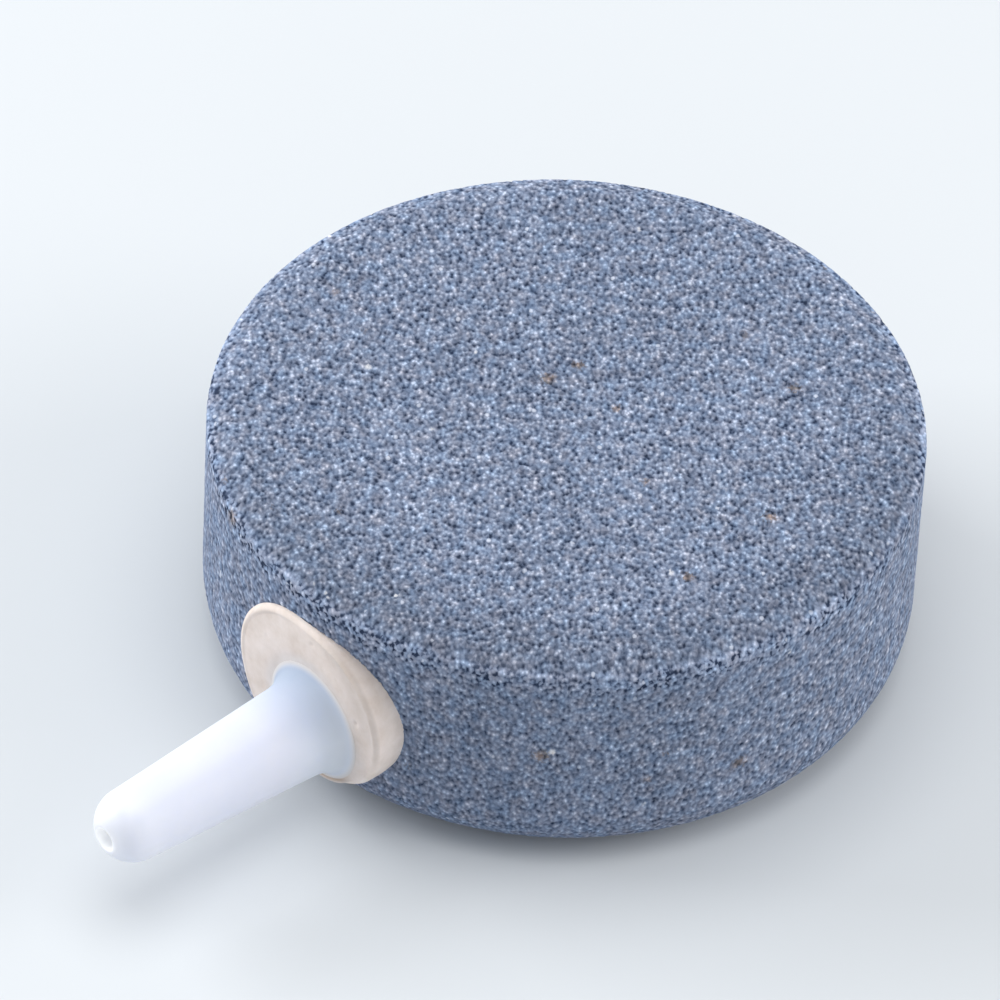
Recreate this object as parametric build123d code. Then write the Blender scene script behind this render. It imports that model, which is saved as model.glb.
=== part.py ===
from build123d import *
import math
import os

# A round air stone: a disc of bonded mineral grit with a hose nipple sealed into its side.
# Millimetres. The origin is the centre of the stone's flat base, +Z is up and the nipple
# points along -Y.

# Stone
stone_diameter = 40.0
stone_thickness = 15.0
lower_edge_radius = 3.7  # between the flat base and the side wall
shoulder_width = 1.8  # worn slope between the flat top and the rim
shoulder_drop = 0.4
rim_radius = 0.3

# Nipple line: parallel to Y, a little beside the stone's centre and below its mid-height
nipple_x = 2.9
nipple_z = 6.2

# Holes in the stone on the nipple line
socket_diameter = 6.6
gallery_diameter = 3.0  # carries the air from the nipple into the middle of the stone
gallery_end_y = 6.0
drill_point_length = 0.9

# Collar of cured sealant: a round pad on the wall, with a sleeve that fills the socket
collar_diameter = 11.6
collar_x = 2.2
collar_z = 7.15
collar_face_y = -20.3
collar_edge_radius = 0.25
collar_root_y = -15.0  # the pad is made this deep before the stone is cut out of it

# Nipple, with lengths measured along its line from the collar's face
spigot_length = 14.7
spigot_root_radius = 2.7
hose_land_radius = 2.4  # straight stretch in the middle of the taper, where the hose grips
hose_land_start = 6.1
hose_land_length = 3.0
spigot_end_radius = 2.12
nose_radius = 0.8  # flat end of the ball-shaped nose, round the bore
bore_radius = 0.6
foot_radius = 3.6  # trumpet-shaped foot on the collar's face
foot_edge_thickness = 0.3
foot_embedding = 0.3
foot_sweep_length = 1.6
foot_edge_slope = 0.25  # steepness of the sweep where it leaves the foot's edge

# Stem: the part of the nipple inside the stone
stem_length = 8.0
stem_radius = 1.9
rib_radius = 2.4
rib_count = 3
first_rib_start = 1.0  # from the foot's seat
rib_pitch = 2.0
rib_length = 1.2

cut_clearance = 1.0  # how far the bore's cutter runs past each end


def stone_outline():
    """The stone before it is bored: half a section, turned about Z."""
    radius = stone_diameter / 2
    rim_z = stone_thickness - shoulder_drop
    flat_radius = radius - shoulder_width
    base_radius = radius - lower_edge_radius
    with BuildPart() as stone:
        with BuildSketch(Plane.XZ):
            with BuildLine():
                base = Line((0, 0), (base_radius, 0))
                lower_edge = RadiusArc(
                    base @ 1, (radius, lower_edge_radius), -lower_edge_radius
                )
                wall = Line(lower_edge @ 1, (radius, rim_z - rim_radius))
                rim = RadiusArc(wall @ 1, (radius - rim_radius, rim_z), -rim_radius)
                top = Line((flat_radius, stone_thickness), (0, stone_thickness))
                Spline(
                    rim @ 1,
                    top @ 0,
                    tangents=((-1, shoulder_drop / shoulder_width), (-1, 0)),
                )
                Line(top @ 1, base @ 0)
            make_face()
        revolve(axis=Axis.Z)
    return stone.part


def rod_along_y(radius, start_y, end_y, x=nipple_x, z=nipple_z):
    """A round rod parallel to Y."""
    middle = Location((x, (start_y + end_y) / 2, z), (90, 0, 0))
    return middle * Cylinder(radius, abs(end_y - start_y))


def stem_end_y():
    return collar_face_y + stem_length


def stone_body(outline):
    """The stone, with the socket for the stem and the blind gallery behind it."""
    outside_y = -stone_diameter
    socket = rod_along_y(socket_diameter / 2, outside_y, stem_end_y())
    gallery = rod_along_y(gallery_diameter / 2, outside_y, gallery_end_y)
    point_middle = Location(
        (nipple_x, gallery_end_y + drill_point_length / 2, nipple_z), (-90, 0, 0)
    )
    drill_point = point_middle * Cone(gallery_diameter / 2, 0, drill_point_length)
    return outline - socket - gallery - drill_point


def rib_points():
    """The stem's side from the foot inwards: sawtooth ribs that keep it in the sealant."""
    points = []
    for rib in range(rib_count):
        start = foot_embedding + first_rib_start + rib * rib_pitch
        points += [
            (stem_radius, start),
            (rib_radius, start),
            (stem_radius, start + rib_length),
        ]
    return points


def nipple_without_bore():
    """The nipple as a solid turned about its line, tip at -Y and stem inside the stone."""
    foot_top = -foot_edge_thickness
    sweep_top = foot_top - foot_sweep_length
    land_start = -hose_land_start
    land_end = land_start - hose_land_length
    nose_length = math.sqrt(spigot_end_radius**2 - nose_radius**2)
    nose_start = -(spigot_length - nose_length)
    with BuildPart() as nipple:
        with BuildSketch(Plane.XY):
            with BuildLine():
                Polyline(
                    (0, stem_length),
                    (stem_radius, stem_length),
                    *reversed(rib_points()),
                    (stem_radius, foot_embedding),
                    (foot_radius, foot_embedding),
                    (foot_radius, foot_top),
                )
                foot_sweep = Spline(
                    (foot_radius, foot_top),
                    (spigot_root_radius, sweep_top),
                    tangents=((-1, -foot_edge_slope), (0, -1)),
                )
                taper = Polyline(
                    foot_sweep @ 1,
                    (hose_land_radius, land_start),
                    (hose_land_radius, land_end),
                    (spigot_end_radius, nose_start),
                )
                nose = RadiusArc(
                    taper @ 1, (nose_radius, -spigot_length), -spigot_end_radius
                )
                Polyline(nose @ 1, (0, -spigot_length), (0, stem_length))
            make_face()
        revolve(axis=Axis.Y)
    return Location((nipple_x, collar_face_y, nipple_z)) * nipple.part


def hose_nipple(solid_nipple):
    """The nipple with its through bore, softened at the mouth."""
    tip_y = collar_face_y - spigot_length
    bore = rod_along_y(bore_radius, tip_y - cut_clearance, stem_end_y() + cut_clearance)
    bored = solid_nipple - bore
    mouth = bored.edges().filter_by(GeomType.CIRCLE).sort_by(Axis.Y)[:2]
    mouth = ShapeList(mouth).sort_by(SortBy.RADIUS)[0]
    return fillet(mouth, (nose_radius - bore_radius) / 2)


def seal_collar(outline, solid_nipple):
    """The sealant: pad on the wall and sleeve in the socket, cast round the nipple."""
    pad = rod_along_y(
        collar_diameter / 2, collar_face_y, collar_root_y, collar_x, collar_z
    )
    front_edge = pad.edges().sort_by(Axis.Y)[0]
    pad = fillet(front_edge, collar_edge_radius)
    sleeve = rod_along_y(socket_diameter / 2, collar_face_y, stem_end_y())
    return (pad - outline) + sleeve - solid_nipple


def build_nodes():
    outline = stone_outline()
    solid_nipple = nipple_without_bore()
    return {
        "stone_body": stone_body(outline),
        "hose_nipple": hose_nipple(solid_nipple),
        "seal_collar": seal_collar(outline, solid_nipple),
    }


os.makedirs("parts", exist_ok=True)
for name, shape in build_nodes().items():
    export_step(shape, f"parts/{name}.step")
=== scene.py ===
import math

import bmesh
import bpy
import numpy as np
from mathutils import Matrix, Vector


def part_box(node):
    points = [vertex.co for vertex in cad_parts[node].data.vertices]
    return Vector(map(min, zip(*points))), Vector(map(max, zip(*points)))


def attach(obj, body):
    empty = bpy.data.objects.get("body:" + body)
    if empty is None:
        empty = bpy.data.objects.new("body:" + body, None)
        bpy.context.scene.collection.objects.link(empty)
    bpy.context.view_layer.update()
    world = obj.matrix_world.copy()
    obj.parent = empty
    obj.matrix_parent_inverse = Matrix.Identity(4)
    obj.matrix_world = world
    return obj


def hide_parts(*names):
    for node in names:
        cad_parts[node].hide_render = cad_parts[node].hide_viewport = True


# The looks of a round air stone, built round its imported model. Every length is in metres.

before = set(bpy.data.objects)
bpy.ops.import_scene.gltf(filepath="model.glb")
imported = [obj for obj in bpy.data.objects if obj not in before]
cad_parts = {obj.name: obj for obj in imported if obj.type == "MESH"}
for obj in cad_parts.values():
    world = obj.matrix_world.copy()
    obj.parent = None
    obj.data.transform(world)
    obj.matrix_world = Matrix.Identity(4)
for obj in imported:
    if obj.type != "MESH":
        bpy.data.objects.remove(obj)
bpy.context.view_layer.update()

MM = 0.001

# ---------------------------------------------------------------- places taken from the frame
stone_low, stone_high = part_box("stone_body")
nipple_low, nipple_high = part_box("hose_nipple")
collar_low, collar_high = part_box("seal_collar")

STONE_RADIUS = (stone_high.x - stone_low.x) / 2
STONE_TOP = stone_high.z
NIPPLE_X = (nipple_low.x + nipple_high.x) / 2
NIPPLE_Z = (nipple_low.z + nipple_high.z) / 2
TIP_Y = nipple_low.y
STEM_END_Y = nipple_high.y
FOOT_RADIUS = (nipple_high.x - nipple_low.x) / 2
COLLAR_X = (collar_low.x + collar_high.x) / 2
COLLAR_Z = (collar_low.z + collar_high.z) / 2
COLLAR_RADIUS = (collar_high.x - collar_low.x) / 2
FACE_Y = collar_low.y

# ---------------------------------------------------------------- shapes
LOWER_EDGE_RADIUS = 3.7 * MM
SHOULDER_WIDTH = 1.8 * MM
SHOULDER_DROP = 0.4 * MM
RIM_RADIUS = 0.3 * MM
SOCKET_RADIUS = 3.3 * MM
GALLERY_RADIUS = 1.5 * MM
GALLERY_END_Y = 6.0 * MM
RIM_HEIGHT = STONE_TOP - SHOULDER_DROP

# ---------------------------------------------------------------- stone grain
RING_SEGMENTS = 1024
GRAIN_SIZE = 0.25 * MM
PORE_SPACING = 0.295 * MM
FINE_GRAIN_SIZE = 0.14 * MM
PORE_DEPTH = 0.07 * MM
GRAIN_CROWN = 0.025 * MM
LUMP_SIZE = 1.3 * MM
LUMP_DEPTH = 0.04 * MM
SPECK_SIZE = 0.95 * MM
PALE_SPECK_SIZE = 0.8 * MM
# The grains lie a little longer one way: the turn about Z, and the stretch along each turned axis
GRAIN_LAY = math.radians(48)
GRAIN_STRETCH = (0.93, 1.2, 1.2)
GRAIN_SPACE = "grain_space"
REST_PLACE = "rest_place"
SKIN = "skin"

# Bake coordinates: the layer's name, the side of the square sheet and the gap between flattened areas
BAKE_UV = "OFBake"
UV_SHEET = 82 * MM
UV_GAP = 0.5 * MM
GALLERY_STRIP_RADIUS = 2 * MM  # the gallery is unrolled as if it had this radius
HAIR = 0.01 * MM  # a place this close to a limit still counts as on it
# Shares of the socket's radius that tell its wall from what lies inside and outside it
JUST_INSIDE = 0.999
JUST_OUTSIDE = 1.001

# A place's distance to the middle of its cell, in cells: mean and spread
CELL_DISTANCE = 0.51
CELL_DISTANCE_SPREAD = 0.167
# A cell's random value: mean and spread
CELL_VALUE = 0.5
CELL_VALUE_SPREAD = 0.289

# Brightness of the grit in 8-bit steps: the mean, the change for one spread of the pattern,
# and how much more the extremes stand out
GRIT_BRIGHTNESS = 122
GRIT_CONTRAST = 13.2
GRIT_TAILS = 0.03
WALL_CONTRAST = 0.85
# Direction of the side whose top edge has the darkest painted shade, in degrees about Z from +X
SHADED_SIDE = -30

# Where the larger rust spots sit on the skin, in millimetres: x, y, z and radius
RUST_SPOTS = [
    (-3.0, 1.2, 15.0, 0.60),
    (-2.8, 3.2, 15.0, 0.45),
    (12.8, 3.7, 15.0, 0.50),
    (13.5, -2.9, 15.0, 0.45),
    (6.0, 11.5, 15.0, 0.40),
    (14.4, -13.8, 8.6, 0.60),
    (19.6, -3.8, 5.9, 0.55),
    (-6.0, -19.0, 14.1, 0.70),
]


# ================================================================ node helpers
def new_material(name):
    material = bpy.data.materials.new(name)
    material.use_nodes = True
    tree = material.node_tree
    return material, tree, tree.nodes["Principled BSDF"]


def maths(tree, operation, first, second=None, third=None):
    """A Math node whose inputs are sockets or numbers. Returns its output."""
    node = tree.nodes.new("ShaderNodeMath")
    node.operation = operation
    for slot, value in enumerate((first, second, third)):
        if value is None:
            continue
        if isinstance(value, (int, float)):
            node.inputs[slot].default_value = value
        else:
            tree.links.new(value, node.inputs[slot])
    return node.outputs[0]


def map_range(tree, value, low, high, to_low=0.0, to_high=1.0, smooth=False):
    """A value moved from one range to another, and held at the range's ends."""
    node = tree.nodes.new("ShaderNodeMapRange")
    if smooth:
        node.interpolation_type = "SMOOTHSTEP"
    tree.links.new(value, node.inputs["Value"])
    ends = {"From Min": low, "From Max": high, "To Min": to_low, "To Max": to_high}
    for key, number in ends.items():
        node.inputs[key].default_value = number
    return node.outputs["Result"]


def mix_colour(tree, factor, first, second, blend="MIX"):
    """A colour Mix node. Its factor is a socket or a number, and its colours are sockets or triples."""
    node = tree.nodes.new("ShaderNodeMix")
    node.data_type = "RGBA"
    node.blend_type = blend
    if isinstance(factor, (int, float)):
        node.inputs["Factor"].default_value = factor
    else:
        tree.links.new(factor, node.inputs["Factor"])
    # Inputs 6 and 7 of a Mix node are its two colours.
    for slot, value in ((6, first), (7, second)):
        if isinstance(value, tuple):
            node.inputs[slot].default_value = (*value, 1.0)
        else:
            tree.links.new(value, node.inputs[slot])
    return node.outputs[2]


def linear(red, green, blue):
    """Linear colour of an 8-bit screen colour."""
    return tuple(
        c / 12.92 if c <= 0.04045 else ((c + 0.055) / 1.055) ** 2.4
        for c in (red / 255, green / 255, blue / 255)
    )


def colour_ramp(tree, value, stops):
    """A colour that changes evenly between (place, colour) stops."""
    node = tree.nodes.new("ShaderNodeValToRGB")
    ramp = node.color_ramp
    while len(ramp.elements) < len(stops):
        ramp.elements.new(0.5)
    for element, (place, colour) in zip(ramp.elements, stops):
        element.position = place
        element.color = (*colour, 1.0)
    tree.links.new(value, node.inputs["Fac"])
    return node.outputs["Color"]


def cells(tree, space, size):
    """3-D cells of the given size. Returns the distance to the cell's middle and its random values."""
    node = tree.nodes.new("ShaderNodeTexVoronoi")
    node.inputs["Scale"].default_value = 1 / size
    tree.links.new(space, node.inputs["Vector"])
    in_geometry = tree.bl_idname == "GeometryNodeTree"
    kind = "FunctionNodeSeparateColor" if in_geometry else "ShaderNodeSeparateColor"
    split = tree.nodes.new(kind)
    tree.links.new(node.outputs["Color"], split.inputs["Color"])
    return node.outputs["Distance"], split.outputs[0], split.outputs[1], split.outputs[2]


def noise(tree, space, size, detail=2.0, roughness=0.5):
    node = tree.nodes.new("ShaderNodeTexNoise")
    node.inputs["Scale"].default_value = 1 / size
    node.inputs["Detail"].default_value = detail
    node.inputs["Roughness"].default_value = roughness
    tree.links.new(space, node.inputs["Vector"])
    return node.outputs[0]


def bump(tree, height, distance, strength=1.0):
    node = tree.nodes.new("ShaderNodeBump")
    node.inputs["Strength"].default_value = strength
    node.inputs["Distance"].default_value = distance
    tree.links.new(height, node.inputs["Height"])
    return node.outputs["Normal"]


def weighted_sum(tree, terms):
    """Sum of weight * (value - mean) over (value, mean, weight)."""
    total = 0.0
    for value, mean, weight in terms:
        centred = maths(tree, "SUBTRACT", value, mean)
        total = maths(tree, "MULTIPLY_ADD", centred, weight, total)
    return total


def distance_to(tree, space, point):
    node = tree.nodes.new("ShaderNodeVectorMath")
    node.operation = "DISTANCE"
    tree.links.new(space, node.inputs[0])
    node.inputs[1].default_value = point
    return node.outputs["Value"]


def off_by(tree, value, middle):
    """How far a value is from a middle, either way."""
    return maths(tree, "ABSOLUTE", maths(tree, "SUBTRACT", value, middle))


def hypotenuse(tree, first, second):
    squares = [maths(tree, "MULTIPLY", side, side) for side in (first, second)]
    return maths(tree, "SQRT", maths(tree, "ADD", *squares))


def along(tree, first, second, degrees):
    """Distance along a direction, given by its angle from the first coordinate towards the second."""
    share = maths(tree, "MULTIPLY", first, math.cos(math.radians(degrees)))
    return maths(tree, "MULTIPLY_ADD", second, math.sin(math.radians(degrees)), share)


def grey(tree, value):
    """A colour whose three parts are all the given value."""
    node = tree.nodes.new("ShaderNodeCombineColor")
    for socket in node.inputs:
        tree.links.new(value, socket)
    return node.outputs[0]


def split_xyz(tree, space):
    node = tree.nodes.new("ShaderNodeSeparateXYZ")
    tree.links.new(space, node.inputs[0])
    return node.outputs


# ================================================================ mesh helpers
def mesh_object(name, points, faces):
    mesh = bpy.data.meshes.new(name)
    mesh.from_pydata(points, [], faces)
    mesh.validate()
    shape = bpy.data.objects.new(name, mesh)
    bpy.context.scene.collection.objects.link(shape)
    mesh.shade_smooth()
    return shape


def ring_of(radius, height, segments):
    angles = np.arange(segments) * (2 * math.pi / segments)
    return np.stack([radius * np.cos(angles), radius * np.sin(angles), np.full(segments, height)], 1)


def stitch(first, first_count, second, second_count):
    """Faces between two rings. One ring may hold twice as many points as the other."""
    if first_count == second_count:
        k = np.arange(first_count)
        after = (k + 1) % first_count
        return np.stack([first + k, first + after, second + after, second + k], 1).tolist()
    if first_count > second_count:
        k = np.arange(second_count)
        fine = [first + (2 * k + step) % first_count for step in range(3)]
        coarse = [second + k, second + (k + 1) % second_count]
        triples = [
            (fine[0], fine[1], coarse[0]),
            (fine[1], coarse[1], coarse[0]),
            (fine[1], fine[2], coarse[1]),
        ]
    else:
        k = np.arange(first_count)
        coarse = [first + k, first + (k + 1) % first_count]
        fine = [second + (2 * k + step) % second_count for step in range(3)]
        triples = [
            (coarse[0], fine[1], fine[0]),
            (coarse[0], coarse[1], fine[1]),
            (coarse[1], fine[2], fine[1]),
        ]
    return np.concatenate([np.stack(t, 1) for t in triples]).tolist()


def read_items(items, key, width=1, kind=float):
    """One number or vector of each mesh item, as an array."""
    values = np.zeros(len(items) * width, kind)
    items.foreach_get(key, values)
    return values.reshape(-1, width) if width > 1 else values


# ================================================================ stone
def stone_profile():
    """Radius and height along the stone's skin, from the middle of the base to the middle of the top."""
    step = 2 * math.pi * STONE_RADIUS / RING_SEGMENTS
    base_radius = STONE_RADIUS - LOWER_EDGE_RADIUS
    base = [(r, 0.0) for r in np.arange(2 * step, base_radius, 2 * step)]
    edge_turn = np.linspace(0, math.pi / 2, round(LOWER_EDGE_RADIUS * math.pi / 2 / step))
    edge = [
        (base_radius + LOWER_EDGE_RADIUS * math.sin(a), LOWER_EDGE_RADIUS * (1 - math.cos(a)))
        for a in edge_turn
    ]
    wall_top = RIM_HEIGHT - RIM_RADIUS
    wall_steps = round((wall_top - LOWER_EDGE_RADIUS) / step)
    wall = [(STONE_RADIUS, h) for h in np.linspace(LOWER_EDGE_RADIUS, wall_top, wall_steps)[1:]]
    rim_turn = np.linspace(0, math.pi / 2, 5)[1:]
    rim = [
        (STONE_RADIUS - RIM_RADIUS * (1 - math.cos(a)), wall_top + RIM_RADIUS * math.sin(a))
        for a in rim_turn
    ]
    shoulder_start = STONE_RADIUS - RIM_RADIUS
    shoulder = []
    for r in np.arange(shoulder_start - step, STONE_RADIUS - SHOULDER_WIDTH, -step):
        inward = (shoulder_start - r) / (SHOULDER_WIDTH - RIM_RADIUS)
        shoulder.append((r, RIM_HEIGHT + SHOULDER_DROP * math.sin(inward * math.pi / 2)))
    top = [(r, STONE_TOP) for r in np.arange(STONE_RADIUS - SHOULDER_WIDTH, 2 * step, -step)]
    return base + edge + wall + rim + shoulder + top


def segments_at(radius, coarse):
    """Points on a ring: halved towards the middle, so that the mesh stays about even."""
    count = RING_SEGMENTS // 2 if coarse else RING_SEGMENTS
    full = STONE_RADIUS
    while radius < full * 0.5 and count > 8:
        count //= 2
        full *= 0.5
    return count


def lathe_stone():
    """The stone's skin before it is bored."""
    profile = stone_profile()
    points = [np.array([[0.0, 0.0, 0.0]])]
    rings = []
    start = 1
    for radius, height in profile:
        count = segments_at(radius, coarse=height == 0.0)
        rings.append((start, count))
        points.append(ring_of(radius, height, count))
        start += count
    points.append(np.array([[0.0, 0.0, STONE_TOP]]))
    faces = []
    first_start, first_count = rings[0]
    faces += [[0, first_start + (k + 1) % first_count, first_start + k] for k in range(first_count)]
    for (a, a_count), (b, b_count) in zip(rings, rings[1:]):
        faces += stitch(a, a_count, b, b_count)
    last_start, last_count = rings[-1]
    faces += [[start, last_start + k, last_start + (k + 1) % last_count] for k in range(last_count)]
    return mesh_object("stone", np.concatenate(points).tolist(), faces)


def wall_y(x, z):
    """The front of the stone's side wall at a place in x and z."""
    rise = np.clip(LOWER_EDGE_RADIUS - np.asarray(z), 0, LOWER_EDGE_RADIUS)
    radius = STONE_RADIUS - LOWER_EDGE_RADIUS + np.sqrt(LOWER_EDGE_RADIUS**2 - rise**2)
    return -np.sqrt(radius**2 - np.asarray(x) ** 2)


def make_round(loop, radius, depth=None):
    """Puts a loop's points on a circle about the nipple line, at a depth or else on the wall."""
    for vert in {v for edge in loop for v in edge.verts}:
        turn = math.atan2(vert.co.z - NIPPLE_Z, vert.co.x - NIPPLE_X)
        vert.co.x = NIPPLE_X + radius * math.cos(turn)
        vert.co.z = NIPPLE_Z + radius * math.sin(turn)
        vert.co.y = float(wall_y(vert.co.x, vert.co.z)) if depth is None else depth


def bore_stone(stone):
    """Opens the blind socket for the nipple's stem, with the air gallery behind it."""
    bm = bmesh.new()
    bm.from_mesh(stone.data)
    base_clearance = 0.5 * MM
    inside = []
    for face in bm.faces:
        middle = face.calc_center_median()
        if middle.y >= 0 or not base_clearance < middle.z < RIM_HEIGHT:
            continue
        if math.hypot(middle.x - NIPPLE_X, middle.z - NIPPLE_Z) < SOCKET_RADIUS:
            inside.append(face)
    bmesh.ops.delete(bm, geom=inside, context="FACES")
    loop = [edge for edge in bm.edges if edge.is_boundary]
    make_round(loop, SOCKET_RADIUS)
    steps = [
        (SOCKET_RADIUS, STEM_END_Y),
        (GALLERY_RADIUS, STEM_END_Y),
        (GALLERY_RADIUS, GALLERY_END_Y),
    ]
    for radius, depth in steps:
        made = bmesh.ops.extrude_edge_only(bm, edges=loop)["geom"]
        loop = [g for g in made if isinstance(g, bmesh.types.BMEdge) and g.is_boundary]
        make_round(loop, radius, depth)
    bmesh.ops.edgeloop_fill(bm, edges=loop)
    bmesh.ops.recalc_face_normals(bm, faces=bm.faces[:])
    bm.to_mesh(stone.data)
    bm.free()


def turn_near(turn, middle):
    """A corner's angle, without a jump from the angle of its face's middle."""
    return (turn - middle + math.pi) % (2 * math.pi) - math.pi + middle


def unwrap_stone(stone):
    """Flat bake coordinates: top, base, two wall strips and the air gallery, side by side.

    The socket's wall stays on the wall strips, and shares a place there that the collar mostly hides.
    """
    mesh = stone.data
    uv = mesh.uv_layers.new(name=BAKE_UV)
    corner = read_items(mesh.vertices, "co", 3)[read_items(mesh.loops, "vertex_index", kind=int)]
    sides = read_items(mesh.polygons, "loop_total", kind=int)
    middle = np.repeat(read_items(mesh.polygons, "center", 3), sides, axis=0)

    on_wall = np.hypot(middle[:, 0], middle[:, 1]) > STONE_RADIUS - LOWER_EDGE_RADIUS - HAIR
    off_line = np.hypot(middle[:, 0] - NIPPLE_X, middle[:, 2] - NIPPLE_Z)
    top = middle[:, 2] > RIM_HEIGHT
    base = (middle[:, 2] < HAIR) & ~on_wall
    gallery = (off_line < SOCKET_RADIUS * JUST_INSIDE) & (middle[:, 1] < GALLERY_END_Y + UV_GAP)
    gallery &= ~top & ~base
    walls = ~top & ~base & ~gallery

    flat = np.zeros((len(corner), 2))
    disc = STONE_RADIUS + UV_GAP
    flat[top] = corner[top, :2] + (disc, disc)
    flat[base] = corner[base, :2] + (3 * disc, disc)

    around = np.arctan2(middle[:, 1], middle[:, 0])
    turn = turn_near(np.arctan2(corner[:, 1], corner[:, 0]), around)
    edge_turn = np.arccos(np.clip(1 - corner[:, 2] / LOWER_EDGE_RADIUS, 0, 1))
    climb = edge_turn * LOWER_EDGE_RADIUS + np.maximum(corner[:, 2] - LOWER_EDGE_RADIUS, 0)
    strip_height = LOWER_EDGE_RADIUS * math.pi / 2 + RIM_HEIGHT - LOWER_EDGE_RADIUS + UV_GAP
    back = around < 0
    flat[walls, 0] = (turn + np.where(back, math.pi, 0))[walls] * STONE_RADIUS + UV_GAP
    flat[walls, 1] = (climb + 2 * disc + np.where(back, strip_height, 0))[walls]

    around = np.arctan2(middle[:, 2] - NIPPLE_Z, middle[:, 0] - NIPPLE_X)
    turn = turn_near(np.arctan2(corner[:, 2] - NIPPLE_Z, corner[:, 0] - NIPPLE_X), around)
    strip_start = math.pi * STONE_RADIUS + 3 * UV_GAP
    flat[gallery, 0] = strip_start + (turn[gallery] + math.pi) * GALLERY_STRIP_RADIUS
    flat[gallery, 1] = 2 * disc + corner[gallery, 1] + STONE_RADIUS
    uv.data.foreach_set("uv", (flat / UV_SHEET).astype(np.float32).ravel())


def lay_grain(tree, place):
    """The grain's own space: turned about Z, then stretched, so that the grains lie one way."""
    turn = tree.nodes.new("ShaderNodeVectorRotate")
    turn.rotation_type = "Z_AXIS"
    turn.inputs["Angle"].default_value = -GRAIN_LAY
    tree.links.new(place, turn.inputs["Vector"])
    stretch = tree.nodes.new("ShaderNodeVectorMath")
    stretch.operation = "DIVIDE"
    tree.links.new(turn.outputs[0], stretch.inputs[0])
    stretch.inputs[1].default_value = GRAIN_STRETCH
    return stretch.outputs[0]


def store_vector(tree, geometry, name, value):
    """Geometry with a vector kept on each point. Returns the new geometry."""
    node = tree.nodes.new("GeometryNodeStoreNamedAttribute")
    node.data_type = "FLOAT_VECTOR"
    node.inputs["Name"].default_value = name
    tree.links.new(geometry, node.inputs["Geometry"])
    tree.links.new(value, node.inputs["Value"])
    return node.outputs["Geometry"]


def grain_relief_tree():
    """Moves the skin inwards at the pores and between the grains, and keeps each point's first place."""
    tree = bpy.data.node_groups.new("grain_relief", "GeometryNodeTree")
    tree.interface.new_socket("Geometry", in_out="INPUT", socket_type="NodeSocketGeometry")
    tree.interface.new_socket("Geometry", in_out="OUTPUT", socket_type="NodeSocketGeometry")
    start = tree.nodes.new("NodeGroupInput")
    end = tree.nodes.new("NodeGroupOutput")
    place = tree.nodes.new("GeometryNodeInputPosition").outputs[0]
    space = lay_grain(tree, place)
    kept = store_vector(tree, start.outputs[0], REST_PLACE, place)
    kept = store_vector(tree, kept, GRAIN_SPACE, space)

    grain = cells(tree, space, GRAIN_SIZE)[0]
    pore = cells(tree, space, PORE_SPACING)[0]
    sunk = map_range(tree, pore, 0.5, 0.1, smooth=True)
    crown = map_range(tree, grain, 0.2, 0.8, smooth=True)
    lumps = noise(tree, place, LUMP_SIZE, detail=1.0)
    inward = maths(tree, "MULTIPLY", sunk, -PORE_DEPTH)
    inward = maths(tree, "MULTIPLY_ADD", crown, -GRAIN_CROWN, inward)
    inward = maths(tree, "MULTIPLY_ADD", lumps, -LUMP_DEPTH, inward)

    on_skin = tree.nodes.new("GeometryNodeInputNamedAttribute")
    on_skin.data_type = "FLOAT"
    on_skin.inputs["Name"].default_value = SKIN
    inward = maths(tree, "MULTIPLY", inward, on_skin.outputs["Attribute"])
    direction = tree.nodes.new("GeometryNodeInputNormal").outputs[0]
    offset = tree.nodes.new("ShaderNodeVectorMath")
    offset.operation = "SCALE"
    tree.links.new(direction, offset.inputs[0])
    tree.links.new(inward, offset.inputs["Scale"])
    move = tree.nodes.new("GeometryNodeSetPosition")
    tree.links.new(kept, move.inputs["Geometry"])
    tree.links.new(offset.outputs[0], move.inputs["Offset"])
    tree.links.new(move.outputs["Geometry"], end.inputs[0])
    return tree


def mark_skin(stone):
    """Marks each point: 1 on the stone's outside, 0 in its bores, which stay smooth."""
    x, y, z = read_items(stone.data.vertices, "co", 3).T
    base_clearance = 0.1 * MM
    bored = np.hypot(x - NIPPLE_X, z - NIPPLE_Z) < SOCKET_RADIUS * JUST_OUTSIDE
    bored &= (y < GALLERY_END_Y + MM) & (z > base_clearance) & (z < RIM_HEIGHT)
    skin = stone.data.attributes.new(SKIN, "FLOAT", "POINT")
    skin.data.foreach_set("value", np.where(bored, 0.0, 1.0).astype(np.float32))


def apply_modifiers(shape):
    graph = bpy.context.evaluated_depsgraph_get()
    made = bpy.data.meshes.new_from_object(shape.evaluated_get(graph), depsgraph=graph)
    made.name = shape.name
    shape.modifiers.clear()
    shape.data = made


def stored_vector(tree, name):
    """The vector that the relief kept on the mesh under this name."""
    node = tree.nodes.new("ShaderNodeAttribute")
    node.attribute_name = name
    return node.outputs["Vector"]


def grit_colour(level):
    """Blue-grey of the grit where the pattern is this many spreads above its mean."""
    darkest = 14
    brightness = max(darkest, GRIT_BRIGHTNESS + GRIT_CONTRAST * level * (1 + GRIT_TAILS * level**2))
    return linear(brightness - 11, brightness + 1, brightness + 23.5)


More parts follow.
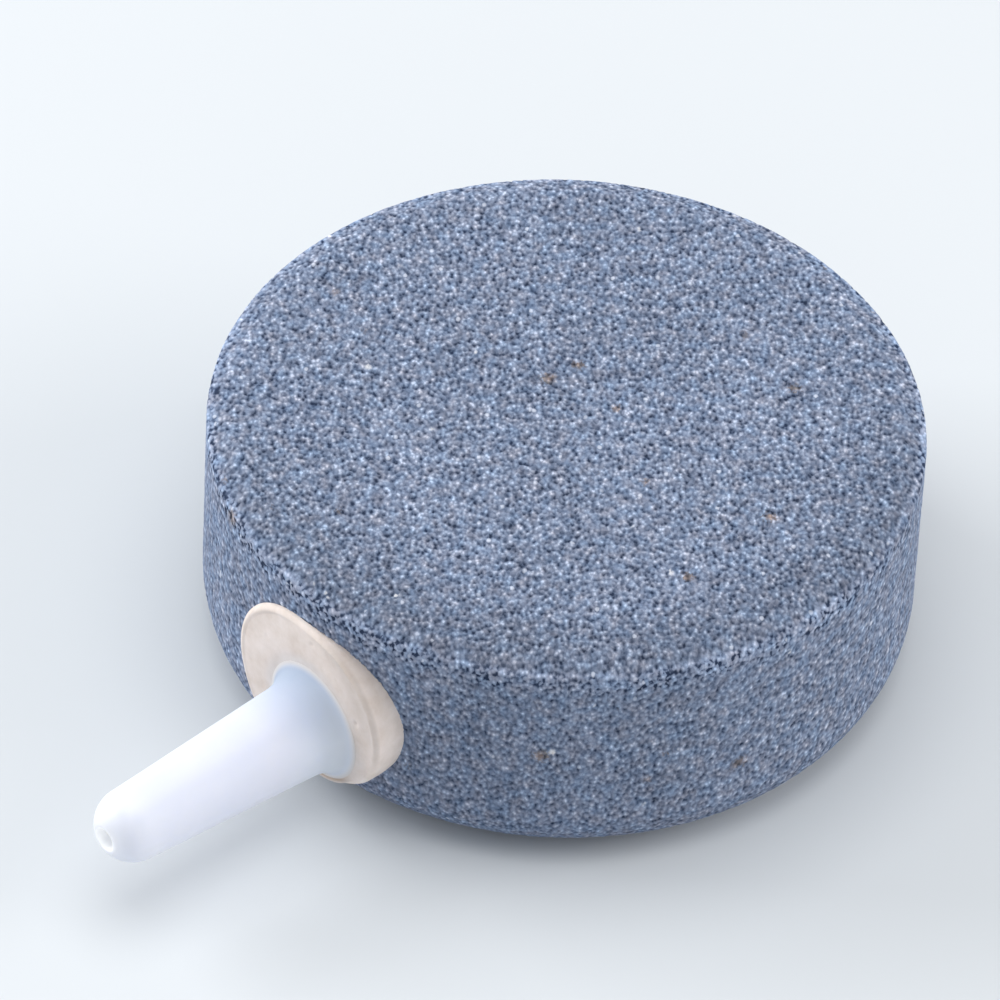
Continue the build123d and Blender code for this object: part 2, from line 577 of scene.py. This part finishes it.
def grit_pattern(tree, space):
    """The skin's pattern of light grains, dark pores and finer grains, with a mean of 0.

    Returns the pattern's level, the finer grains' random value and the rare sparkling grains.
    """
    grain, tone, _, glint = cells(tree, space, GRAIN_SIZE)
    pore = cells(tree, space, PORE_SPACING)[0]
    fine = cells(tree, space, FINE_GRAIN_SIZE)[1]
    level = weighted_sum(tree, [
        (grain, CELL_DISTANCE, -1.0 / CELL_DISTANCE_SPREAD),
        (pore, CELL_DISTANCE, 1.0 / CELL_DISTANCE_SPREAD),
        (fine, CELL_VALUE, 0.4 / CELL_VALUE_SPREAD),
        (tone, CELL_VALUE, 0.2 / CELL_VALUE_SPREAD),
    ])
    rare = map_range(tree, glint, 0.994, 0.998)
    sparkle = maths(tree, "MULTIPLY", rare, map_range(tree, grain, 0.7, 0.35))
    return level, fine, sparkle


def pale_specks(tree, space, level):
    """Sparse small clusters of near-white grains, which stand out where the pattern is bright."""
    distance, pick, _, _ = cells(tree, space, PALE_SPECK_SIZE)
    rare = map_range(tree, pick, 0.984, 0.987)
    speck = maths(tree, "MULTIPLY", map_range(tree, distance, 0.36, 0.14), rare)
    return maths(tree, "MULTIPLY", speck, map_range(tree, level, -0.5, 1.8, 0.0, 0.8))


def rust(tree, rest, space, wobble):
    """How rusty a place is: a few larger spots, and scattered small specks. The wobble frays their edges."""
    ragged = maths(tree, "MULTIPLY_ADD", wobble, 0.35 * MM, -0.17 * MM)
    total = 0.0
    for x, y, z, radius in RUST_SPOTS:
        distance = distance_to(tree, rest, (x * MM, y * MM, z * MM))
        distance = maths(tree, "ADD", distance, ragged)
        spot = map_range(tree, distance, radius * MM, radius * 0.3 * MM)
        total = maths(tree, "MAXIMUM", spot, total)
    distance, pick, depth, _ = cells(tree, space, SPECK_SIZE)
    edge = maths(tree, "MULTIPLY_ADD", wobble, 0.3, distance)
    rare = map_range(tree, pick, 0.985, 0.987)
    speck = maths(tree, "MULTIPLY", map_range(tree, edge, 0.52, 0.25), rare)
    speck = maths(tree, "MULTIPLY", speck, map_range(tree, depth, 0.0, 1.0, 0.5, 1.0))
    return maths(tree, "MAXIMUM", speck, total)


def rim_painted_light(tree, place, breaks):
    """Brightness factor of painted light and shade: painted shade on the top's slope towards one side,
    painted sheen on the far shoulder, a broken painted highlight along the rim, a wall painted brighter than
    the top, most at its top edge.
    """
    reach = hypotenuse(tree, place["X"], place["Y"])
    to_side = along(tree, place["X"], place["Y"], SHADED_SIDE)
    slope = map_range(tree, reach, STONE_RADIUS - 5.7 * MM, STONE_RADIUS - 2 * MM, smooth=True)
    # Painted shade on the slope, darkest towards the shaded side.
    slope_shade = map_range(tree, to_side, -0.3 * STONE_RADIUS, 0.6 * STONE_RADIUS, -0.01, -0.19)
    shoulder = map_range(tree, reach, STONE_RADIUS - 2.3 * MM, STONE_RADIUS - 1.5 * MM)
    # Painted sheen on the shoulder of the side away from the shaded one.
    far_sheen = map_range(tree, to_side, 0.3 * STONE_RADIUS, -0.2 * STONE_RADIUS, 0.0, 0.08)
    # A broken painted highlight along the rim.
    off_line = off_by(tree, reach, STONE_RADIUS - 0.18 * MM)
    line = map_range(tree, off_line, 0.42 * MM, 0.1 * MM, smooth=True)
    highlight_strength = map_range(tree, breaks, 0.35, 0.65, 0.2, 0.36)
    top = maths(tree, "MULTIPLY_ADD", line, highlight_strength, 1.0)
    top = maths(tree, "MULTIPLY_ADD", slope, slope_shade, top)
    top = maths(tree, "MULTIPLY_ADD", shoulder, far_sheen, top)
    # The wall is painted a little brighter than the top, with a painted highlight along its top edge.
    wall = map_range(tree, place["Z"], STONE_TOP - 1.5 * MM, STONE_TOP - 0.5 * MM, 1.05, 1.25)
    on_top = map_range(tree, place["Z"], STONE_TOP - 0.75 * MM, STONE_TOP - 0.55 * MM)
    # Inputs 0, 2 and 3 of a Mix node are its factor and its two numbers.
    node = tree.nodes.new("ShaderNodeMix")
    for slot, value in ((0, on_top), (2, wall), (3, top)):
        tree.links.new(value, node.inputs[slot])
    return node.outputs[0]


def rim_pores(tree, level, height, breaks):
    """The pattern with a broken line of deep pores just under the rim, and calmer grain on the rim."""
    off_line = off_by(tree, height, RIM_HEIGHT - 0.55 * MM)
    near_line = map_range(tree, off_line, 0.8 * MM, 0.35 * MM, smooth=True)
    broken = map_range(tree, breaks, 0.4, 0.6, 0.3, 1.0)
    near_line = maths(tree, "MULTIPLY", near_line, broken)
    deep_pores = maths(tree, "MULTIPLY", map_range(tree, level, -0.5, -1.2), near_line)
    calm = map_range(tree, off_by(tree, height, RIM_HEIGHT), 0.1 * MM, 0.3 * MM, 0.85, 1.0)
    level = maths(tree, "MULTIPLY", level, calm)
    return maths(tree, "MULTIPLY_ADD", deep_pores, -2.8, level)


def grit_tints(tree, colour, space, painted_light):
    """Slow drift of brightness, multiplied by the rim's painted light and shade, and a finer drift between
    bluer and greyer grit.
    """
    tint = map_range(tree, noise(tree, space, 0.7 * MM, detail=2.0), 0.3, 0.7)
    tint = mix_colour(tree, tint, (0.915, 1.005, 1.065), (1.11, 0.995, 0.925))
    colour = mix_colour(tree, 1.0, colour, tint, blend="MULTIPLY")
    drift = map_range(tree, noise(tree, space, 5 * MM, detail=3.0), 0.3, 0.7, 0.94, 1.06)
    drift = maths(tree, "MULTIPLY", drift, painted_light)
    return mix_colour(tree, 1.0, colour, grey(tree, drift), blend="MULTIPLY")


def rusted(tree, colour, rusty, fine):
    """The grit's colour with rust on it, browner on some of the finer grains."""
    brown = mix_colour(tree, 1.0, colour, (1.0, 0.72, 0.52), blend="MULTIPLY")
    browner = map_range(tree, fine, 0.6, 1.0, 0.0, 0.5)
    brown = mix_colour(tree, browner, brown, linear(118, 82, 58))
    return mix_colour(tree, rusty, colour, brown)


def grit_material():
    """Bonded blue-grey grit: matt, porous, with sparkling grains and rust specks."""
    material, tree, shader = new_material("grit_stone")
    space = stored_vector(tree, GRAIN_SPACE)
    rest = stored_vector(tree, REST_PLACE)
    place = split_xyz(tree, rest)
    level, fine, sparkle = grit_pattern(tree, space)
    breaks = noise(tree, space, 2.2 * MM, detail=2.0)

    # The moulded wall is a little more even than the top.
    evenness = map_range(tree, place["Z"], RIM_HEIGHT - RIM_RADIUS, RIM_HEIGHT, WALL_CONTRAST, 1.0)
    level = maths(tree, "MULTIPLY", level, evenness)
    level = rim_pores(tree, level, place["Z"], breaks)

    steps = 8
    stops = [(k / steps, grit_colour(k - steps / 2)) for k in range(steps + 1)]
    colour = colour_ramp(tree, map_range(tree, level, -steps / 2, steps / 2), stops)
    # The rim's painted light and shade goes into the grit's slow drift of brightness.
    colour = grit_tints(tree, colour, space, rim_painted_light(tree, place, breaks))
    bright_grain = maths(tree, "MULTIPLY", sparkle, 0.6)
    colour = mix_colour(tree, bright_grain, colour, linear(202, 208, 222))
    colour = mix_colour(tree, pale_specks(tree, space, level), colour, linear(214, 214, 216))
    colour = rusted(tree, colour, rust(tree, rest, space, fine), fine)
    tree.links.new(colour, shader.inputs["Base Color"])

    rough = map_range(tree, sparkle, 0.0, 1.0, 0.85, 0.45)
    tree.links.new(rough, shader.inputs["Roughness"])
    shader.inputs["Specular IOR Level"].default_value = 0.2
    tree.links.new(bump(tree, level, 0.01 * MM, 0.4), shader.inputs["Normal"])
    return material


def make_stone():
    stone = lathe_stone()
    bore_stone(stone)
    unwrap_stone(stone)
    mark_skin(stone)
    modifier = stone.modifiers.new("grain_relief", "NODES")
    modifier.node_group = grain_relief_tree()
    apply_modifiers(stone)
    stone.data.materials.clear()
    stone.data.materials.append(grit_material())
    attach(stone, "root")
    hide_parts("stone_body")


# ================================================================ tube shapes on the nipple line
# Directions round the nipple line and the pad, in degrees from +X towards +Z
UPPER_LEFT = 135
UPPER_RIGHT = 38
LOWER_RIGHT = -30


def ring_tube(name, rings, segments):
    """A closed tube through rings, the last joined to the first. A ring gives (x, y, z) for angles."""
    angles = np.arange(segments) * (2 * math.pi / segments)
    points = np.concatenate([np.stack(np.broadcast_arrays(*ring(angles)), 1) for ring in rings])
    faces = []
    count = len(rings)
    for k in range(count):
        faces += stitch(k * segments, segments, (k + 1) % count * segments, segments)
    return mesh_object(name, points.tolist(), faces)


def recalculate_normals(shape):
    bm = bmesh.new()
    bm.from_mesh(shape.data)
    bmesh.ops.recalc_face_normals(bm, faces=bm.faces[:])
    bm.to_mesh(shape.data)
    bm.free()


def line_ring(radius, y):
    """A round ring about the nipple line."""
    return lambda a: (NIPPLE_X + radius * np.cos(a), y, NIPPLE_Z + radius * np.sin(a))


# ================================================================ nipple
SPIGOT_ROOT_RADIUS = 2.7 * MM
SPIGOT_END_RADIUS = 2.12 * MM
BORE_RADIUS = 0.6 * MM
BORE_LIP = 0.2 * MM
FOOT_EDGE = 0.01 * MM
FOOT_SEAT = 0.3 * MM  # how deep the foot sits in the sealant
FOOT_SWEEP = 1.9 * MM
STEM_RADIUS = 1.9 * MM
RIB_RADIUS = 2.4 * MM
RIB_COUNT = 3
RIB_PITCH = 2.0 * MM
RIB_LENGTH = 1.2 * MM
NIPPLE_SEGMENTS = 128


def nipple_outline():
    """(radius, y) round the nipple's wall: through the bore, over the nose and back to the stem's end."""
    outline = [(BORE_RADIUS, y) for y in np.linspace(STEM_END_Y, TIP_Y + 0.5 * MM, 24)]
    for a in np.linspace(0, math.pi / 2, 6)[1:]:
        inset = BORE_LIP * (1 - math.cos(a))
        outline.append((BORE_RADIUS + inset, TIP_Y + BORE_LIP * (1 - math.sin(a))))
    start = math.acos((BORE_RADIUS + BORE_LIP) / SPIGOT_END_RADIUS)
    nose_centre = TIP_Y + SPIGOT_END_RADIUS * math.sin(start)
    for a in np.linspace(start, 0, 14)[1:]:
        radius = SPIGOT_END_RADIUS * math.cos(a)
        outline.append((radius, nose_centre - SPIGOT_END_RADIUS * math.sin(a)))
    taper_end = FACE_Y - FOOT_SWEEP
    for t in np.linspace(0, 1, 40)[1:]:
        radius = SPIGOT_END_RADIUS + (SPIGOT_ROOT_RADIUS - SPIGOT_END_RADIUS) * t
        outline.append((radius, nose_centre + (taper_end - nose_centre) * t))
    for a in np.linspace(0, math.pi / 2, 12)[1:]:
        outline.append((
            FOOT_RADIUS - (FOOT_RADIUS - SPIGOT_ROOT_RADIUS) * math.cos(a),
            taper_end + (FOOT_SWEEP - FOOT_EDGE) * math.sin(a),
        ))
    outline.append((FOOT_RADIUS, FACE_Y + FOOT_SEAT))
    outline.append((STEM_RADIUS, FACE_Y + FOOT_SEAT))
    for rib in range(RIB_COUNT):
        start_y = FACE_Y + FOOT_SEAT + (rib + 0.5) * RIB_PITCH
        outline.append((STEM_RADIUS, start_y))
        outline.append((RIB_RADIUS, start_y))
        outline.append((STEM_RADIUS, start_y + RIB_LENGTH))
    outline.append((STEM_RADIUS, STEM_END_Y))
    return outline


def milky_plastic_material():
    """Milky, translucent plastic, darker near its foot: partly the dark stone behind it showing through,
    partly painted shade.
    """
    material, tree, shader = new_material("milky_plastic")
    space = tree.nodes.new("ShaderNodeTexCoord").outputs["Object"]
    cloud = noise(tree, space, 3 * MM, detail=2.0)
    colour = colour_ramp(tree, cloud, [(0.35, (0.68, 0.705, 0.82)), (0.7, (0.705, 0.72, 0.82))])
    place = split_xyz(tree, space)
    sideways = maths(tree, "SUBTRACT", place["X"], NIPPLE_X)
    above = maths(tree, "SUBTRACT", place["Z"], NIPPLE_Z)
    # Near the foot the thin wall lets the dark stone through, and painted shade darkens it further, most at
    # its upper left.
    shade_upper_left = map_range(tree, along(tree, sideways, above, UPPER_LEFT), -1.4 * MM, 2.8 * MM)
    shaded_foot_colour = mix_colour(tree, shade_upper_left, (0.66, 0.72, 0.83), (0.34, 0.41, 0.54))
    near_foot = map_range(tree, place["Y"], FACE_Y - 5 * MM, FACE_Y, smooth=True)
    colour = mix_colour(tree, near_foot, colour, shaded_foot_colour)
    # A pale film of sealant thins out over the foot's edge; its paleness is also painted light that lifts
    # the shade in the crease there.
    off_line = hypotenuse(tree, sideways, above)
    film_lifting_shade = map_range(tree, off_line, FOOT_RADIUS - 0.4 * MM, FOOT_RADIUS, smooth=True)
    colour = mix_colour(tree, film_lifting_shade, colour, linear(214, 209, 206))
    # Light carried along the plastic brightens the bore.
    in_bore = map_range(tree, off_line, BORE_RADIUS + BORE_LIP, BORE_RADIUS + BORE_LIP / 2)
    colour = mix_colour(tree, in_bore, colour, (0.97, 0.98, 1.0))
    tree.links.new(colour, shader.inputs["Base Color"])
    depth = map_range(tree, off_line, FOOT_RADIUS - 0.8 * MM, FOOT_RADIUS - 0.2 * MM, 0.8, 0.0)
    tree.links.new(depth, shader.inputs["Subsurface Weight"])
    shader.inputs["Subsurface Radius"].default_value = (1.0, 1.05, 1.2)
    shader.inputs["Subsurface Scale"].default_value = 3 * MM
    shader.inputs["IOR"].default_value = 1.5
    haze = noise(tree, space, 0.5 * MM, detail=3.0)
    rough = map_range(tree, haze, 0.3, 0.7, 0.3, 0.42)
    rough = maths(tree, "MULTIPLY_ADD", near_foot, 0.35, rough)
    tree.links.new(rough, shader.inputs["Roughness"])
    tree.links.new(bump(tree, cloud, 0.05 * MM, 0.4), shader.inputs["Normal"])
    return material


def make_nipple():
    rings = [line_ring(radius, y) for radius, y in nipple_outline()]
    nipple = ring_tube("nipple", rings, NIPPLE_SEGMENTS)
    recalculate_normals(nipple)
    nipple.data.materials.append(milky_plastic_material())
    nipple.data.set_sharp_from_angle(angle=math.radians(50))
    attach(nipple, "root")
    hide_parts("hose_nipple")


# ================================================================ collar
COLLAR_EDGE = 0.35 * MM
EMBEDDING = 0.15 * MM
FACE_WAVE = 0.03 * MM  # how far the face's slow waves rise and fall
FACE_WAVE_X = 0.9 * MM  # the waves' length along X, divided by 2 pi
FACE_WAVE_Z = 1.2 * MM  # the same along Z
BUBBLE_DEPTH = 0.6  # depth of a bubble's pit, as a share of its radius
WANDER_SEED = 5
WANDER_SIZE = 0.07 * MM  # size of the outline's small wobble
UNDERCUT = 0.08 * MM  # shadow gap where the pad's side meets the stone
FOOT_LIP = 0.3 * MM  # the face is levelled over this width beside the nipple's foot
COLLAR_SEGMENTS = 256

# The collar's hand-spread outline: direction and width in degrees, and change of radius in millimetres
COLLAR_SPREAD = [
    (-66, 38, -0.8),
    (22, 38, 0.3),
    (92, 30, -0.35),
    (160, 30, 0.12),
]

# Burst bubbles in the sealant's face, in millimetres: x, z and radius
BUBBLES = [
    (6.35, 8.62, 0.17),
    (2.5, 11.7, 0.12),
    (-1.3, 9.4, 0.10),
    (4.6, 10.6, 0.09),
    (5.1, 3.3, 0.12),
]


def wander(angles, seed, size):
    """A smooth, closed, repeatable wobble round a ring."""
    chance = np.random.default_rng(seed)
    total = np.zeros_like(angles)
    for wave in range(2, 14):
        total += chance.normal() / wave**0.7 * np.cos(wave * angles + chance.uniform(0, 2 * math.pi))
    return size * total / 2


def spread_towards(angles, towards, width):
    """1 in one direction round a ring, falling smoothly to 0 over the given width in degrees."""
    turn = (angles - math.radians(towards) + math.pi) % (2 * math.pi) - math.pi
    return np.exp(-((turn / math.radians(width)) ** 2))


def collar_reach(angles):
    """How far the hand-spread collar is from round: flatter at its bottom and top, wider at its sides."""
    total = wander(angles, WANDER_SEED, WANDER_SIZE)
    for towards, width, reach in COLLAR_SPREAD:
        total = total + reach * MM * spread_towards(angles, towards, width)
    return total


def collar_ring(radius, y, towards_nipple=0.0, uneven=0.0):
    """A ring of the collar. Its middle slides from the pad's middle to the nipple line."""
    def place(angles):
        x = COLLAR_X + (NIPPLE_X - COLLAR_X) * towards_nipple
        z = COLLAR_Z + (NIPPLE_Z - COLLAR_Z) * towards_nipple
        reach = radius + collar_reach(angles) * uneven
        px = x + reach * np.cos(angles)
        pz = z + reach * np.sin(angles)
        py = y(px, pz) if callable(y) else y
        return px, py, pz
    return place


def hidden_wall(x, z):
    """A place just under the stone's skin."""
    return wall_y(x, z) + EMBEDDING


def deep_wall(x, z):
    """A place twice as deep under the stone's skin."""
    return wall_y(x, z) + 2 * EMBEDDING


def bubbled_face(x, z):
    """The pad's face: a little uneven, with a small pit at each burst bubble."""
    sunk = FACE_WAVE * (1 + np.sin(x / FACE_WAVE_X) * np.cos(z / FACE_WAVE_Z))
    for bubble_x, bubble_z, radius in BUBBLES:
        away = np.hypot(x - bubble_x * MM, z - bubble_z * MM) / (radius * MM)
        sunk = sunk + BUBBLE_DEPTH * radius * MM * np.exp(-away**2)
    return FACE_Y + sunk


def pad_side(share):
    """A place on the pad's side, from the stone's wall (0) to the start of the face's edge (1)."""
    def place(x, z):
        edge = FACE_Y + COLLAR_EDGE
        return (1 - share) * np.maximum(wall_y(x, z), edge) + share * edge
    return place


def levelled_face(share):
    """A place on the pad's face beside the foot, from uneven (0) to level (1)."""
    def place(x, z):
        return bubbled_face(x, z) * (1 - share) + FACE_Y * share
    return place


def collar_rings():
    """Rings round the collar's section: side, face, lip at the foot, sleeve and back."""
    rings = [collar_ring(COLLAR_RADIUS - UNDERCUT, hidden_wall, 0, 1)]
    rings.append(collar_ring(COLLAR_RADIUS - UNDERCUT, pad_side(0), 0, 1))
    rings.append(collar_ring(COLLAR_RADIUS - UNDERCUT / 4, pad_side(0.25), 0, 1))
    rings += [collar_ring(COLLAR_RADIUS, pad_side(share), 0, 1) for share in (0.5, 0.75, 1)]
    for a in np.linspace(0, math.pi / 2, 8)[1:]:
        inset = COLLAR_EDGE * (1 - math.cos(a))
        y = FACE_Y + COLLAR_EDGE * (1 - math.sin(a))
        rings.append(collar_ring(COLLAR_RADIUS - inset, y, 0, 1))
    inner = FOOT_RADIUS + FOOT_LIP
    for t in np.linspace(0, 1, 28)[1:]:
        radius = (COLLAR_RADIUS - COLLAR_EDGE) * (1 - t) + inner * t
        rings.append(collar_ring(radius, bubbled_face, t, 1 - t))
    for t in np.linspace(0, 1, 5)[1:]:
        rings.append(collar_ring(inner - FOOT_LIP * t, levelled_face(t), 1))
    rings.append(collar_ring(FOOT_RADIUS, FACE_Y + FOOT_SEAT, 1))
    rings.append(collar_ring(STEM_RADIUS, FACE_Y + FOOT_SEAT, 1))
    rings.append(collar_ring(STEM_RADIUS, STEM_END_Y, 1))
    rings.append(collar_ring(SOCKET_RADIUS, STEM_END_Y, 1))
    rings.append(collar_ring(SOCKET_RADIUS, deep_wall, 1))
    for t in (0.3, 0.6, 0.85):
        rings.append(collar_ring(SOCKET_RADIUS * (1 - t) + COLLAR_RADIUS * t, hidden_wall, 1 - t, t))
    return rings


def sealant_material():
    """Cured cream sealant: cloudy, finely mottled, with a brown line at the nipple's foot, a painted shadow
    round the foot and painted light and shade across the cast.
    """
    material, tree, shader = new_material("cream_sealant")
    space = tree.nodes.new("ShaderNodeTexCoord").outputs["Object"]
    mottle = noise(tree, space, 1.4 * MM, detail=4.0, roughness=0.65)
    colour = colour_ramp(
        tree,
        mottle,
        [
            (0.3, linear(209, 195, 185)),
            (0.5, linear(218, 206, 198)),
            (0.7, linear(226, 215, 209)),
        ],
    )
    place = split_xyz(tree, space)
    # A brown line follows the lower side of the foot.
    above = maths(tree, "SUBTRACT", place["Z"], NIPPLE_Z)
    reach = hypotenuse(tree, maths(tree, "SUBTRACT", place["X"], NIPPLE_X), above)
    brown_line = map_range(tree, reach, FOOT_RADIUS + 0.35 * MM, FOOT_RADIUS + 0.05 * MM, smooth=True)
    brown_line = maths(tree, "MULTIPLY", brown_line, map_range(tree, above, -1.8 * MM, -3.0 * MM))
    colour = mix_colour(tree, maths(tree, "MULTIPLY", brown_line, 0.75), colour, linear(176, 142, 108))
    # Painted soft shadow of the nipple's foot on the sealant round the rest of the foot, strongest at its
    # upper left.
    sideways = maths(tree, "SUBTRACT", place["X"], NIPPLE_X)
    shadow_upper_left = map_range(tree, along(tree, sideways, above, UPPER_LEFT), -1.4 * MM, 2.8 * MM, 0.1, 0.35)
    foot_shadow = map_range(tree, reach, FOOT_RADIUS + 0.9 * MM, FOOT_RADIUS, smooth=True)
    colour = mix_colour(tree, maths(tree, "MULTIPLY", foot_shadow, shadow_upper_left), colour, linear(192, 192, 195))
    # Painted shade darkens the cast's face towards its upper right, and painted light brightens the cast
    # towards its lower right.
    pad_x = maths(tree, "SUBTRACT", place["X"], COLLAR_X)
    pad_z = maths(tree, "SUBTRACT", place["Z"], COLLAR_Z)
    upper_right_shade = map_range(tree, along(tree, pad_x, pad_z, UPPER_RIGHT), 3.6 * MM, 4.9 * MM, 0.0, -0.19)
    on_face = map_range(tree, place["Y"], FACE_Y + COLLAR_EDGE, FACE_Y + COLLAR_EDGE / 2)
    pale = map_range(tree, along(tree, pad_x, pad_z, LOWER_RIGHT), 3.6 * MM, 5.2 * MM, 1.0, 1.13)
    tone = grey(tree, maths(tree, "MULTIPLY_ADD", upper_right_shade, on_face, pale))
    colour = mix_colour(tree, 1.0, colour, tone, blend="MULTIPLY")
    tree.links.new(colour, shader.inputs["Base Color"])
    shader.inputs["Subsurface Weight"].default_value = 0.25
    shader.inputs["Subsurface Radius"].default_value = (1.0, 0.8, 0.65)
    shader.inputs["Subsurface Scale"].default_value = 0.4 * MM
    grain = noise(tree, space, 0.35 * MM, detail=3.0)
    tree.links.new(map_range(tree, grain, 0.3, 0.7, 0.55, 0.7), shader.inputs["Roughness"])
    shader.inputs["Specular IOR Level"].default_value = 0.3
    height = maths(tree, "MULTIPLY_ADD", mottle, 2.0, grain)
    tree.links.new(bump(tree, height, 0.03 * MM, 0.4), shader.inputs["Normal"])
    return material


def make_collar():
    collar = ring_tube("collar", collar_rings(), COLLAR_SEGMENTS)
    recalculate_normals(collar)
    collar.data.materials.append(sealant_material())
    collar.data.set_sharp_from_angle(angle=math.radians(60))
    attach(collar, "root")
    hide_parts("seal_collar")


# ================================================================ stage
CAMERA_ELEVATION = math.radians(44.5)
CAMERA_AZIMUTH = math.radians(47.66)  # from -Y towards +X
CAMERA_ROLL = math.radians(3.05)
CAMERA_DISTANCE = 0.6
CAMERA_LENS = 383.4
CAMERA_SHIFT_RIGHT = -3.16 * MM
CAMERA_SHIFT_UP = 6.1 * MM


def make_camera():
    """A long lens, a little rolled, looking down on the stone past its nipple. Returns its right."""
    flat = math.cos(CAMERA_ELEVATION)
    back = Vector((
        math.sin(CAMERA_AZIMUTH) * flat,
        -math.cos(CAMERA_AZIMUTH) * flat,
        math.sin(CAMERA_ELEVATION),
    ))
    right = Vector((math.cos(CAMERA_AZIMUTH), math.sin(CAMERA_AZIMUTH), 0))
    up = back.cross(right)
    rolled_right = right * math.cos(CAMERA_ROLL) + up * math.sin(CAMERA_ROLL)
    rolled_up = back.cross(rolled_right)
    place = back * CAMERA_DISTANCE + rolled_right * CAMERA_SHIFT_RIGHT + rolled_up * CAMERA_SHIFT_UP
    data = bpy.data.cameras.new("camera")
    data.lens = CAMERA_LENS
    data.sensor_width = 36
    data.clip_end = 20
    camera = bpy.data.objects.new("camera", data)
    bpy.context.scene.collection.objects.link(camera)
    turn = Matrix((rolled_right, rolled_up, back)).transposed().to_4x4()
    turn.translation = place
    camera.matrix_world = turn
    bpy.context.scene.camera = camera
    return right


def soft_light(name, place, size, power, colour=(1.0, 1.0, 1.0)):
    """A square light aimed at the origin."""
    data = bpy.data.lights.new(name, "AREA")
    data.shape = "SQUARE"
    data.size = size
    data.energy = power
    data.color = colour
    light = bpy.data.objects.new(name, data)
    light.location = place
    light.rotation_euler = (-Vector(place)).to_track_quat("-Z", "Y").to_euler()
    bpy.context.scene.collection.objects.link(light)


def make_lights(right):
    """Large soft lights: one overhead, one at each side, and a weak one in front."""
    raised = Vector((0, 0, 0.22))
    left = Matrix.Rotation(math.radians(-20), 3, "Z") @ -right
    soft_light("top_light", (0, 0, 0.6), size=0.5, power=1.75)
    soft_light("left_light", left * 0.5 + raised, size=0.35, power=2.6)
    soft_light("right_light", right * 0.5 + raised, size=0.35, power=1.62, colour=(1.0, 0.96, 0.92))
    soft_light("front_light", (0.5, -0.26, 0.12), size=0.35, power=0.26)
    world = bpy.data.worlds.new("studio")
    world.use_nodes = True
    background = world.node_tree.nodes["Background"]
    background.inputs["Color"].default_value = (0.93, 0.96, 1.0, 1.0)
    background.inputs["Strength"].default_value = 0.52
    bpy.context.scene.world = world


def floor_material():
    """Pale and matt. Far from the object it glows a little, so that it meets the background evenly."""
    material, tree, shader = new_material("pale_floor")
    shader.inputs["Base Color"].default_value = (0.62, 0.65, 0.675, 1.0)
    shader.inputs["Roughness"].default_value = 0.7
    space = tree.nodes.new("ShaderNodeTexCoord").outputs["Object"]
    away = distance_to(tree, space, (0, 0, 0))
    glow = map_range(tree, away, 0.2, 1.0, 0.0, 0.158, smooth=True)
    shader.inputs["Emission Color"].default_value = (1.0, 0.955, 0.925, 1.0)
    tree.links.new(glow, shader.inputs["Emission Strength"])
    return material


def make_floor():
    half = 3.0
    corners = [(-half, -half, 0), (half, -half, 0), (half, half, 0), (-half, half, 0)]
    floor = mesh_object("floor", corners, [(0, 1, 2, 3)])
    floor.data.materials.append(floor_material())


# ================================================================ build
make_stone()
make_nipple()
make_collar()
make_floor()
make_lights(make_camera())
bpy.context.scene.view_settings.view_transform = "Standard"
